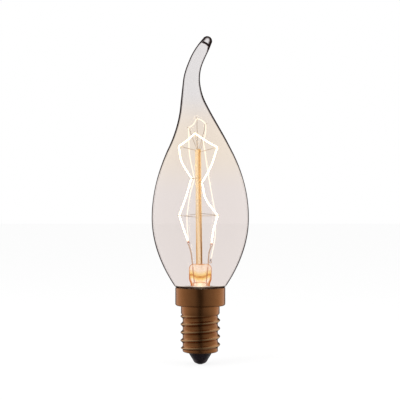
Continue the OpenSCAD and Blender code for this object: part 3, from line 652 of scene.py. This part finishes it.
hooks = [(side + "_" + name, way_points, 4 * i, h)
         for side, way_points, feet, names in (
             ("front", front_route, FRONT_FEET,
              "lower_left waist_left upper_left peak upper_right waist_right lower_right"),
             ("back", back_route, BACK_FEET,
              "lower_left waist shoulder_left peak shoulder_right neck lower_right"))
         for i, h, name in zip(range(1, 8), feet, names.split())]
rod_top, round_h = rod_h - 0.02, rod_r * 0.6
up = np.concatenate([heights(-rod_seat, rod_top - round_h, 0.35),
                     rod_top - round_h * (1 - np.sin(np.radians(np.arange(8, 89, 8))))])
into = np.clip((up - rod_top + round_h) / round_h, 0, 1)
round_top = np.sqrt(np.clip(1 - into**2, 0.004, 1))
turns = circle(48)
swell = np.zeros((len(up), len(turns)))
for _, way_points, k, h in hooks:
    _, angle = foot_of(way_points[k], h)
    apart = (turns - angle + np.pi) % (2 * np.pi) - np.pi
    swell += 0.14 * np.exp(-((up[:, None] - h) / 0.4) ** 2 - (apart[None] * rod_r / 0.45) ** 2)
waver = 0.02 * np.sin(up / 2.3) + 0.015 * np.sin(up / 0.9 + 1.0)
rod_radius = (rod_r - 0.03 + waver)[:, None] * round_top[:, None] + np.minimum(swell, 0.2)
rod_radius[up < 0.4] = rod_r
ring = np.stack([np.cos(turns), np.sin(turns), 0 * turns], -1)
rod = piece("rod", rod_axis(up)[:, None] + rod_radius[..., None] * ring[None],
            aside=np.cos(turns)[None] + 0 * swell)

# %% [markdown]
# ## Lead glass, lit from close by
# Solid glass this near to the filament isn't grey. It carries the warm light along inside it: the
# middle is bright and clear, and the edges, which look into the depth of the glass, are amber to
# brown. That light and shade are painted into the rod's colour by side, fixed to the rod: painted
# amber on the left and a painted darker brown on the right, because the rod leans to one side of
# the loops. Where its foot is sunk in the press, glass meets glass and it can't be seen.


# %% Rod glass
def cords(tree, first, last):
    """Fine streaks along the axis, about 1 mm apart, that run from one number to another."""
    drawn = add(tree, "Mapping", {0: add(tree, "TexCoord").outputs["Object"], 3: (900, 900, 90)})
    streaks = add(tree, "TexNoise", {"Vector": drawn, "Scale": 1.0})
    return add(tree, "MapRange", {0: streaks, 1: 0.35, 2: 0.65, 3: first, 4: last})


def lead_glass(tree, tone, painted_glow):
    """Ends a finish as glass that lets the light through in its tone, with a faint painted glow in
    the same tone that stands in for the filaments' light.
    """
    see = add(tree, "BsdfTransparent", {0: tone})
    body = add(tree, "BsdfPrincipled", {"Base Color": tone, "Roughness": 0.08, "IOR": 1.56,
                                        "Emission Color": tone, "Emission Strength": painted_glow})
    add(tree, "OutputMaterial", {0: add(tree, "MixShader", {0: 0.15, 1: see, 2: body})})


# Painted light and shade for glass lit from inside: clear for the bright middle, amber and brown for
# the edges
CLEAR, AMBER, BROWN = "#FFF4E0", "#ECCB94", "#B08450"
# The rod's painted light and shade from its left side at -1 to its right at 1, fixed to the rod: at
# its foot and at its head
ROD_FOOT = [(-0.85, AMBER), (-0.4, CLEAR), (0.3, CLEAR), (0.75, BROWN), (1.0, AMBER)]
ROD_HEAD = [(-0.3, CLEAR), (0.5, AMBER), (0.85, CLEAR)]
rod_glass, tree = finish("drawn lead glass rod")
z = add(tree, "SeparateXYZ", {0: add(tree, "TexCoord").outputs["Object"]}).outputs["Z"]
across = add(tree, "MapRange", {0: add(tree, "Attribute", attribute_name="aside").outputs["Fac"],
                                1: -1.0, 2: 1.0})
low, high = (add(tree, "ValToRGB", {0: across}, stops=[((a + 1) / 2, code) for a, code in tones])
             for tones in (ROD_FOOT, ROD_HEAD))
rise = add(tree, "MapRange", {0: z, 1: 0.038, 2: 0.057}, **SOFT)
tone = add(tree, "Mix", {0: rise, 6: low, 7: high}, **COLOURS)
sunk = add(tree, "MapRange", {0: z, 1: 0.0352, 2: 0.0348})
tone = add(tree, "Mix", {0: sunk, 6: tone, 7: (1, 1, 1, 1)}, **COLOURS)
tone = add(tree, "Mix", {0: 1.0, 6: tone, 7: cords(tree, 0.92, 1.0)}, blend_type="MULTIPLY",
           **COLOURS)
lead_glass(tree, tone, 0.45)
stands_for(rod, "glass_rod", rod_glass)

# %% [markdown]
# ## The pressed stem and its tube
# The stem is the same glass, and what it shows is mostly the wires and the filament bent by it:
# pale and amber bands that go with the height and curve up towards both sides. So its colour
# follows the height by a ramp, and an edge colour takes over where the surface turns away.

# %% Amber glass
# The stem's tones by height in millimetres: a gold band with a darker line across the middle,
# where the wires show, and dark again at the top, where the eye looks along the press
LIGHT, PALE, GOLD, HONEY = "#FFFDF5", "#F8F0E5", "#F6E3AA", "#DEB07A"
PRESS_TONES = [(28.6, LIGHT), (29.8, GOLD), (30.4, HONEY), (30.8, GOLD), (32.4, PALE),
               (34.4, PALE), (35.0, HONEY)]
TUBE_TONES = [(26.0, LIGHT), (36.0, LIGHT)]
WIDEST = 7e-6  # square of the distance, in metres, from which the bands rise no further: 2.6 mm


def amber(name, tones, edge, sag):
    """Clear glass with a warm edge: the colour it lets through follows the height by its tones, which
    are painted light and shade, and runs to the painted edge colour as the surface turns away, with
    a soft painted glow that stands in for the filaments' light. Away from the axis the bands rise by
    sag, in 1/m, times the distance squared."""
    made, tree = finish(name)
    facing = add(tree, "LayerWeight", {"Blend": 0.5}).outputs["Facing"]
    turned = add(tree, "MapRange", {0: facing, 1: 0.22, 2: 0.62}, **SOFT)
    spot = add(tree, "SeparateXYZ", {0: add(tree, "TexCoord").outputs["Object"]})
    bulge = add(tree, "Math", {0: spot.outputs["X"], 1: spot.outputs["X"]}, operation="MULTIPLY")
    held = add(tree, "Math", {0: bulge, 1: WIDEST}, operation="MINIMUM")
    sunk = add(tree, "Math", {0: held, 1: -sag, 2: spot.outputs["Z"]}, operation="MULTIPLY_ADD")
    place = add(tree, "MapRange", {0: sunk, 1: 0.026, 2: 0.036})
    middle = add(tree, "ValToRGB", {0: place}, stops=[((z - 26) / 10, code) for z, code in tones])
    level = add(tree, "Math", {0: turned, 1: cords(tree, 0.0, 0.15)}, operation="ADD",
                use_clamp=True)
    lead_glass(tree, add(tree, "Mix", {0: level, 6: middle, 7: edge}, **COLOURS), 1.2)
    return made


stem_glass = amber("pressed lead glass stem", PRESS_TONES, "#DCA263", 130.0)
tube_glass = amber("lead glass exhaust tube", TUBE_TONES, "#F6E2BE", 0.0)

# %% [markdown]
# ## The hooks
# Each hook is a molybdenum wire with a pigtail eye that rings the coil and is open towards the
# rod. The eye lies in a plane between the two legs of the coil, so that it clears both.

# %% Hooks
# Painted light: the hooks' faint glow stands in for the filaments' light falling on them
hook_wire = mottled("molybdenum wire", 1400.0, 3.0, ("#B4A698", "#CDBFB2"), (0.3, 0.5),
                    {"Metallic": 1.0}, painted_glow=0.6)
hook_d, eye_r, eye_open = 0.22, 0.25 + 0.11 + 0.08, np.radians(52)


def hook_path(way_points, k, h):
    """Foot, straight run and eye: the eye is an arc about the stop in the plane square to the
    coil's mean direction there, from 52 degrees on one side of the rod's direction to 52 on the
    other."""
    stop, (foot, _) = way_points[k], foot_of(way_points[k], h)
    way = unit(unit(way_points[k + 1] - stop) - unit(way_points[k - 1] - stop))
    back = unit((foot - stop) - ((foot - stop) @ way) * way)
    side = np.cross(way, back)
    a = np.linspace(eye_open, 2 * np.pi - eye_open, 28)[:, None]
    eye = stop + eye_r * (np.cos(a) * back + np.sin(a) * side)
    reach = min(2.8 * eye_r, np.linalg.norm(foot - stop) / 2)
    knee = stop + reach * unit(foot - stop)
    t = np.linspace(0, 1, 9)[:, None]
    start = knee + (foot - knee) * 0.15
    bend = (1 - t) ** 2 * start + 2 * t * (1 - t) * knee + t**2 * eye[0]
    return np.concatenate([[foot], [foot + (start - foot) * 0.5], bend[:-1], eye])


for name, way_points, k, h in hooks:
    hook = piece("wire_hook_" + name, wire_rings(hook_path(way_points, k, h), hook_d / 2, 10))
    stands_for(hook, "hook_" + name, hook_wire)

# %% [markdown]
# ## The stem
# The stem is a glass tube whose lower end is flared to meet the bulb's neck and whose upper end was
# pinched flat, hot, over the lead wires. Its rings run from the bore, round the flare's rim and up
# to the press, and their outline turns from a circle into a rounded oblong on the way.

# %% Stem surface
stem_r, bore_r, flare_t, flare_h = 3.35, 2.65, 0.9, 3.6
land = neck_r - wall - 0.1
press_h, press_w, press_t, press_round = 5.8, 7.9, 2.8, 1.6


def ease(t):
    """Smooth step from 0 to 1: 3 t t - 2 t t t."""
    t = np.clip(t, 0, 1)
    return t * t * (3 - 2 * t)


def flare(r_out, r_in, z):
    """A quarter of an ellipse from the rim inwards and up: radius and height."""
    a = np.radians(np.linspace(0, 90, 22))
    return np.stack([r_in + (r_out - r_in) * (1 - np.sin(a)), z + flare_h * (1 - np.cos(a))], -1)


def ovals(half_w, half_t, z, square, sides=72):
    """Rings whose two half widths follow signed powers of the cosine and the sine. A power under
    one squares the corners."""
    a = circle(sides)
    c, s = np.cos(a)[None], np.sin(a)[None]
    square = np.asarray(square)[:, None]
    x = np.asarray(half_w)[:, None] * np.sign(c) * np.abs(c) ** square
    y = np.asarray(half_t)[:, None] * np.sign(s) * np.abs(s) ** square
    return np.stack([x, y, np.asarray(z)[:, None] + 0 * x], -1)


under = np.concatenate([[(neck_r, flare_z)], flare(land - flare_t, bore_r, flare_z),
                        [(bore_r, press_z - 2.0), (bore_r, press_z - 0.9),
                         (bore_r * 0.88, press_z - 0.66), (bore_r * 0.6, press_z - 0.5),
                         (bore_r * 0.3, press_z - 0.42), (0.2, press_z - 0.4)]])
over = np.concatenate([[(neck_r, neck_z)], flare(land, stem_r, neck_z)])
flank_h, widen_h = (press_z - neck_z - flare_h) / 2, press_h / 2
up = np.linspace(press_z - flank_h, press_z + widen_h, 28)
widen = ease((up - press_z + flank_h) / (1.5 * flank_h))
flatten = ease((up - press_z) / widen_h)
curl = np.radians(np.linspace(0, 80, 12))
drop = press_round * (1 - np.cos(curl))
stem_rows = np.concatenate([
    ovals(under[::-1, 0], under[::-1, 0], under[::-1, 1], np.ones(len(under))),
    ovals(over[:, 0], over[:, 0], over[:, 1], np.ones(len(over))),
    ovals(stem_r + (press_w / 2 - stem_r) * widen, stem_r + (press_t / 2 - stem_r) * flatten,
          up, 1 - 0.4 * flatten),
    ovals(press_w / 2 - drop, press_t / 2 - drop * 0.35,
          press_top_z - press_round * (1 - np.sin(curl) / np.sin(curl[-1])),
          np.full(12, 0.6))])
stem = piece("stem", stem_rows)

# %% Vent in the press
cutter = piece("cutter", [[(0.8 * np.cos(a), y, press_z + 0.9 + 0.8 * np.sin(a))
                           for a in np.linspace(0, 2 * np.pi, 33)[:-1]] for y in (0.0, -4.0)])
cut = stem.modifiers.new("vent", "BOOLEAN")
cut.operation, cut.object, cut.solver = "DIFFERENCE", cutter, "EXACT"
bpy.context.view_layer.update()
holed = bpy.data.meshes.new_from_object(
    stem.evaluated_get(bpy.context.evaluated_depsgraph_get()))
stem.modifiers.clear()
stem.data = holed
bpy.data.objects.remove(cutter)
stands_for(stem, "stem_flare", stem_glass)

# %% [markdown]
# ## The leads
# A nickel wire comes out of the press on each side. Its end is folded into a small clamp that grips
# the filament's leg. The fold is a C: an arc of sheet with its opening upwards, where the leg
# leaves it.


# %% Leads and clamps
def clamp_rings(centre, length=1.5, outside_d=1.1, thick=0.22):
    """A C of sheet along Y. Each ring is its small rectangular section with rounded corners, and
    the rings turn about the clamp's axis from one lip of the opening to the other."""
    turn = np.radians(np.linspace(125, 415, 40))
    corner = np.radians([0, 30, 60, 90])
    edge = 0.07
    part = np.concatenate([np.stack([np.cos(corner + k * np.pi / 2),
                                     np.sin(corner + k * np.pi / 2)], -1) * edge
                           + [(thick / 2 - edge) * sx, (length / 2 - edge) * sy]
                           for k, (sx, sy) in enumerate([(1, 1), (-1, 1), (-1, -1), (1, -1)])])
    radius = outside_d / 2 - thick / 2 + part[None, :, 0]
    return np.stack([centre[0] + radius * np.cos(turn)[:, None],
                     centre[1] + part[None, :, 1] + 0 * turn[:, None],
                     centre[2] + radius * np.sin(turn)[:, None]], -1)


def seal_point(side, z):
    """A point on the straight line that a seal wire takes through the press."""
    t = (z - (press_z - 0.7)) / (press_top_z - (press_z - 0.7))
    return np.array([side * (2.08 + 0.68 * t), 0.0, z])


# Painted light: the leads' faint glow stands in for the filaments' light falling on them
nickel = mottled("nickel wire and strip", 700.0, 4.0, ("#B89C88", "#DCC4B0"), (0.25, 0.45),
                 {"Metallic": 1.0}, bump=(0.2, 0.0001), painted_glow=0.75)
left_clamp = np.array([-4.1, 0, press_top_z + 7.35])
right_clamp = np.array([3.85, 0, press_top_z + 6.65])
tail_clamp = np.array([3.5, 0, press_top_z + 0.8])
for name, side, knee, clamps in (("left", -1, -3.25, [left_clamp]),
                                 ("right", 1, 3.1, [right_clamp, tail_clamp])):
    stops = [seal_point(side, press_top_z - 1), seal_point(side, press_top_z + 0.6),
             np.array([knee, 0, press_top_z + 4]), clamps[0] - [0, 0, 0.45]]
    lead = piece("lead_" + name, wire_rings(through(stops, 12), 0.25, 16),
                 also=[clamp_rings(c) for c in clamps])
    stands_for(lead, "inner_lead_" + name, nickel)

# %% [markdown]
# ## The screw cap
# The cap is one sheet of brass, drawn into a cup and then rolled between two dies that leave the
# thread: a narrow round crest winding up a plain tube, 2.822 mm to the turn. The surface is a
# radius for each height and angle. Its inner skin follows one sheet's thickness behind.

# %% Cap surface
pitch, root_r, thread_depth, land_r = 2.822, 12.29 / 2, 0.8, 13.54 / 2
curl_r, skirt_bore, insulator_r, first_crest = 6.195, 8.4, 4.1, 2.93
cap_a = circle(160)


def crest(z):
    """How high the thread stands at each height and angle: the power of a raised cosine, which
    climbs one pitch in a turn."""
    wave = (1 + np.cos(2 * np.pi * (z[:, None] - shell_z - first_crest) / pitch - cap_a[None])) / 2
    return wave ** 2.1


def thread_radius(z):
    """Root radius plus the crest, faded out over 0.8 mm into the plain sheet at both ends."""
    low, high = ease((z - thread_z) / 0.8)[:, None], ease((z - land_z + 0.8) / 0.8)[:, None]
    on = low * (1 - high)
    plain = curl_r - 0.06 + (land_r - curl_r) * high
    return plain + (root_r - plain + thread_depth * crest(z)) * on, crest(z) * on


def plain_rows(points):
    """Rows of the cap that are true circles, from pairs of radius and height."""
    p = np.asarray(points, float)
    return np.repeat(p[:, :1], len(cap_a), 1), p[:, 1]


corner = np.radians(np.linspace(0, 90, 10))
bottom = through([(insulator_r, 0, shell_z), (curl_r - 0.9, 0, shell_z + 0.2),
                  (curl_r - 0.25, 0, shell_z + 0.42), (curl_r, 0, shell_z + 0.78),
                  (curl_r - 0.03, 0, thread_z)], 5)[:, ::2]
thread_zs = heights(thread_z + 0.1, land_z, 0.115)
corner_z = shoulder_z + 0.7
rolled, up_crest = thread_radius(thread_zs)
outside_plain = [(land_r, land_z + 0.1), (land_r, shoulder_z - 0.25),
                 (land_r + 0.03, shoulder_z - 0.1), (land_r + 0.12, shoulder_z)]
outside_plain += [(skirt_r - 0.7 + 0.7 * np.sin(a), corner_z - 0.7 * np.cos(a)) for a in corner]
outside_plain += [(skirt_r, z) for z in (21.4, 22.5, 24.0, 25.5, 26.5)]
outside_plain += [(skirt_r - 0.012, rim_z - 0.08), (skirt_r - 0.05, rim_z - 0.02),
                  (skirt_r - 0.1, rim_z), (skirt_bore + 0.08, rim_z), (skirt_bore, rim_z - 0.05)]
inside_plain = [(skirt_r - 0.7 + 0.35 * np.sin(a), corner_z - 0.35 * np.cos(a))
                for a in corner[::-1]]
inside_plain += [(land_r - sheet, shoulder_z + sheet), (land_r - sheet, land_z + 0.1)]
inner_curl = [(curl_r - sheet, thread_z), (curl_r - sheet, shell_z + 0.77),
              (curl_r - 0.53, shell_z + 0.665), (curl_r - 1.0, shell_z + 0.55),
              (insulator_r, shell_z + sheet)]
rows = [plain_rows(bottom), (rolled, thread_zs), plain_rows(outside_plain),
        plain_rows([(skirt_bore, z) for z in (25.0, 23.0, 21.4)]), plain_rows(inside_plain),
        (rolled[::-1] - sheet + 0.12, thread_zs[::-1]), plain_rows(inner_curl)]
cap_r = np.concatenate([r for r, _ in rows])
cap_z = np.concatenate([z for _, z in rows])[:, None] + 0 * cap_r
cap_points = np.stack([cap_r * np.cos(cap_a), cap_r * np.sin(cap_a), cap_z], -1)
worn = np.zeros(cap_r.shape)
worn[len(bottom):len(bottom) + len(thread_zs)] = up_crest
groove = np.zeros(cap_r.shape)
groove[len(bottom):len(bottom) + len(thread_zs)] = 1 - up_crest
cap = piece("screw_cap", cap_points, looped=True, crest=worn, groove=groove)

# %% [markdown]
# ## Antique bronze on brass
# The sheet is brass, darkened chemically and lacquered to look old: a warm brown metal, satin and
# still sharp enough to mirror the studio as soft bands. The toner lies darker in the grooves and is
# rubbed thin on the crests. Fine vertical marks come from the drawing die, about 0.3 mm apart.

# %% Cap finish
bronze, tree = finish("antique bronze plated brass")
spot = add(tree, "TexCoord").outputs["Object"]
crest_at, groove_at = (add(tree, "Attribute", attribute_name=name).outputs["Fac"]
                       for name in ("crest", "groove"))
cloud = add(tree, "TexNoise", {"Vector": spot, "Scale": 260.0, "Detail": 5.0, "Roughness": 0.6})
toned = add(tree, "Mix", {0: cloud, 6: "#A86B3E", 7: "#C68756"}, **COLOURS)
rubbed = add(tree, "MapRange", {0: crest_at, 1: 0.3, 2: 1.0, 3: 0.0, 4: 0.65})
worn_tone = add(tree, "Mix", {0: rubbed, 6: toned, 7: "#DCB484"}, **COLOURS)
soiled = add(tree, "MapRange", {0: groove_at, 1: 0.7, 2: 1.0, 3: 0.0, 4: 0.12})
tone = add(tree, "Mix", {0: soiled, 6: worn_tone, 7: "#7A5530"}, **COLOURS)
rough = add(tree, "MapRange", {0: cloud, 1: 0.3, 2: 0.7, 3: 0.2, 4: 0.32})
marks = add(tree, "TexNoise", {"Vector": add(tree, "Mapping", {0: spot, 3: (3200, 3200, 260)}),
                               "Scale": 1.0, "Detail": 2.0})
scored = add(tree, "Bump", {"Strength": 0.12, "Distance": 0.00005, "Height": marks})
add(tree, "OutputMaterial", {0: add(tree, "BsdfPrincipled", {
    "Base Color": tone, "Metallic": 1.0, "Roughness": rough, "Normal": scored})})
stands_for(cap, "cap_shell", bronze)

# %% [markdown]
# ## The foot
# Black glass, poured in hot, fills the end of the cap and holds the contact. It is turned about the
# axis, so a smooth profile is enough, and it has a glossy, slightly rippled skin.


# %% Black glass and contact
def turned(name, profile, sides=96):
    """A solid turned about the axis from a closed profile of radius and height, which starts and
    ends close to the axis or runs round a bore."""
    p = np.asarray(profile, float)
    a = circle(sides)
    grid = np.stack([p[:, :1] * np.cos(a), p[:, :1] * np.sin(a), p[:, 1:] + 0 * a], -1)
    return piece(name, grid, looped=True)


def smooth_profile(points, steps=6):
    """A rounded profile through pairs of radius and height."""
    return through([(r, 0, z) for r, z in points], steps)[:, ::2]


cone = smooth_profile([(2.75, contact_h), (3.17, 2.42), (3.68, 3.25), (insulator_r, shell_z)])
black_profile = np.concatenate([
    [(0.9, contact_h), (1.8, contact_h)], cone,
    [(insulator_r, shell_z + sheet), (5.195, 4.5), (5.665, 4.615), (5.845, 4.72),
     (5.845, thread_z), (5.745, 5.3), (5.245, 7.55), (1.3, 8.15), (1.3, 2.6), (0.9, 2.6)]])
black = turned("black_glass_foot", black_profile)
vitrite = mottled("black vitrite glass", 700.0, 3.0, ("#151114", "#241E22"), (0.08, 0.22),
                  {"IOR": 1.5, "Specular IOR Level": 0.2}, bump=(0.25, 0.0002))
stands_for(black, "cap_insulator", vitrite)

contact_dome = smooth_profile([(0.9, 0.12), (1.2, 0.22), (1.87, 0.522), (2.31, 0.99),
                               (2.613, 1.494), (2.75, contact_h)], 5)
button = turned("contact_button", np.concatenate([contact_dome, [(0.9, contact_h)]]))
solder_drop = turned("contact_solder", [(0.02, 0.0), (0.6, 0.0), (0.75, 0.01), (0.9, 0.12),
                                        (0.9, 2.6), (0.16, 2.6), (0.16, 0.9), (0.02, 0.9)])
oxide = mottled("tarnished contact", 900.0, 4.0, ("#3E343B", "#766A6F"), (0.25, 0.5),
                {"Metallic": 1.0})
stands_for(button, "centre_contact", oxide)

# %% [markdown]
# ## Solder, copper and cement
# The last pieces keep their CAD shapes, because little of them shows, and get a finish each: tin
# solder with a crinkled skin, bare copper wire, copper-clad seal wire, and gritty capping cement.

# %% Finishes of the carried-over nodes
solder = mottled("tin solder", 1200.0, 4.0, ("#6A6A6E", "#A2A2A6"), (0.3, 0.5),
                 {"Metallic": 1.0}, bump=(0.3, 0.0001))
stands_for(solder_drop, "centre_solder", solder)
copper = mottled("bare copper wire", 900.0, 3.0, ("#9A5A38", "#D08A5C"), 0.35, {"Metallic": 1.0})
clad = mottled("borated copper-clad seal wire", 800.0, 3.0, ("#A85A30", "#D88A4C"), 0.3,
               {"Coat Weight": 0.5})
putty = mottled("capping cement", 1500.0, 6.0, ("#B8AC96", "#DCD3C0"), 0.85, {},
                bump=(0.5, 0.0002))
for names, given in (("exhaust_tube", tube_glass), ("seal_wire_left seal_wire_right", clad),
                     ("outer_lead_side outer_lead_centre", copper), ("fuse_wire", hook_wire),
                     ("side_solder", solder), ("basing_cement", putty)):
    for name in names.split():
        nodes[name].data.materials.clear()
        nodes[name].data.materials.append(given)
        print(name, "wears", given.name)
